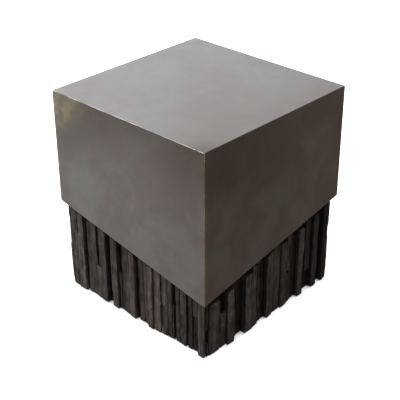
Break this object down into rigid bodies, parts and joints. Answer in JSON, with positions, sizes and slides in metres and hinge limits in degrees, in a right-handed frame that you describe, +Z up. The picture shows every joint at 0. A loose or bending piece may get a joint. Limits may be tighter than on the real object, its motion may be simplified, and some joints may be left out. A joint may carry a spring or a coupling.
{
  "type": "cube side table",
  "caption": "Cube side table: a patinated bronze cap with a slanted lower edge over a plinth of dark split-wood staves, with screw levellers hidden inside.",
  "frame": {"origin": "middle of the square footprint, on the floor", "axes": "+Z up; -Y is the front, and the cap's lower edge is lowest at the corner between -Y and +X"},
  "size_m": [0.4572, 0.4572, 0.508],
  "materials": {
    "patinated_bronze": "satin, dark cloudy patina, waxed, thin bright wear along the edges",
    "fibreboard": "stained black, matt",
    "black_plywood": "painted black, matt",
    "split_wood": "rough split face, charcoal-brown stain, matt",
    "zinc_steel": "bright zinc plated",
    "black_nylon": "moulded, fine grain"
  },
  "bodies": {
    "root": {"cap_back_board": "fibreboard", "cap_back_sheet": "patinated_bronze", "cap_front_board": "fibreboard", "cap_front_sheet": "patinated_bronze", "cap_left_board": "fibreboard", "cap_left_sheet": "patinated_bronze", "cap_right_board": "fibreboard", "cap_right_sheet": "patinated_bronze", "cap_screw_back_left": "zinc_steel", "cap_screw_back_right": "zinc_steel", "cap_screw_front_left": "zinc_steel", "cap_screw_front_right": "zinc_steel", "cap_top_board": "fibreboard", "cap_top_sheet": "patinated_bronze", "core_back_panel": "black_plywood", "core_deck": "black_plywood", "core_front_panel": "black_plywood", "core_left_panel": "black_plywood", "core_right_panel": "black_plywood", "corner_block_back_left": "black_plywood", "corner_block_back_right": "black_plywood", "corner_block_front_left": "black_plywood", "corner_block_front_right": "black_plywood", "staves_back_1": "split_wood", "staves_back_2": "split_wood", "staves_back_3": "split_wood", "staves_back_4": "split_wood", "staves_back_5": "split_wood", "staves_back_6": "split_wood", "staves_front_1": "split_wood", "staves_front_2": "split_wood", "staves_front_3": "split_wood", "staves_front_4": "split_wood", "staves_front_5": "split_wood", "staves_front_6": "split_wood", "staves_left_1": "split_wood", "staves_left_2": "split_wood", "staves_left_3": "split_wood", "staves_left_4": "split_wood", "staves_left_5": "split_wood", "staves_left_6": "split_wood", "staves_right_1": "split_wood", "staves_right_2": "split_wood", "staves_right_3": "split_wood", "staves_right_4": "split_wood", "staves_right_5": "split_wood", "staves_right_6": "split_wood", "threaded_insert_back_left": "zinc_steel", "threaded_insert_back_right": "zinc_steel", "threaded_insert_front_left": "zinc_steel", "threaded_insert_front_right": "zinc_steel"},
    "foot_front_right": {"leveller_foot_front_right": "black_nylon"},
    "stem_front_right": {"leveller_stem_front_right": "zinc_steel"},
    "foot_back_right": {"leveller_foot_back_right": "black_nylon"},
    "stem_back_right": {"leveller_stem_back_right": "zinc_steel"},
    "foot_back_left": {"leveller_foot_back_left": "black_nylon"},
    "stem_back_left": {"leveller_stem_back_left": "zinc_steel"},
    "foot_front_left": {"leveller_foot_front_left": "black_nylon"},
    "stem_front_left": {"leveller_stem_front_left": "zinc_steel"}
  },
  "joints": [
    {"name": "foot_travel_front_right", "type": "slide", "parent": "root", "child": "foot_front_right", "axis": [0, 0, -1], "range_m": [0, 0.01]},
    {"name": "stem_turn_front_right", "type": "hinge", "parent": "foot_front_right", "child": "stem_front_right", "pos_m": [0.1508, -0.1508, 0], "axis": [0, 0, -1], "range_deg": [0, 2400]},
    {"name": "foot_travel_back_right", "type": "slide", "parent": "root", "child": "foot_back_right", "axis": [0, 0, -1], "range_m": [0, 0.01]},
    {"name": "stem_turn_back_right", "type": "hinge", "parent": "foot_back_right", "child": "stem_back_right", "pos_m": [0.1508, 0.1508, 0], "axis": [0, 0, -1], "range_deg": [0, 2400]},
    {"name": "foot_travel_back_left", "type": "slide", "parent": "root", "child": "foot_back_left", "axis": [0, 0, -1], "range_m": [0, 0.01]},
    {"name": "stem_turn_back_left", "type": "hinge", "parent": "foot_back_left", "child": "stem_back_left", "pos_m": [-0.1508, 0.1508, 0], "axis": [0, 0, -1], "range_deg": [0, 2400]},
    {"name": "foot_travel_front_left", "type": "slide", "parent": "root", "child": "foot_front_left", "axis": [0, 0, -1], "range_m": [0, 0.01]},
    {"name": "stem_turn_front_left", "type": "hinge", "parent": "foot_front_left", "child": "stem_front_left", "pos_m": [-0.1508, -0.1508, 0], "axis": [0, 0, -1], "range_deg": [0, 2400]}
  ],
  "couplings": [
    {"joint": "stem_turn_front_right", "follows": "foot_travel_front_right", "rad_per_m": 4188.8},
    {"joint": "stem_turn_back_right", "follows": "foot_travel_back_right", "rad_per_m": 4188.8},
    {"joint": "stem_turn_back_left", "follows": "foot_travel_back_left", "rad_per_m": 4188.8},
    {"joint": "stem_turn_front_left", "follows": "foot_travel_front_left", "rad_per_m": 4188.8}
  ]
}
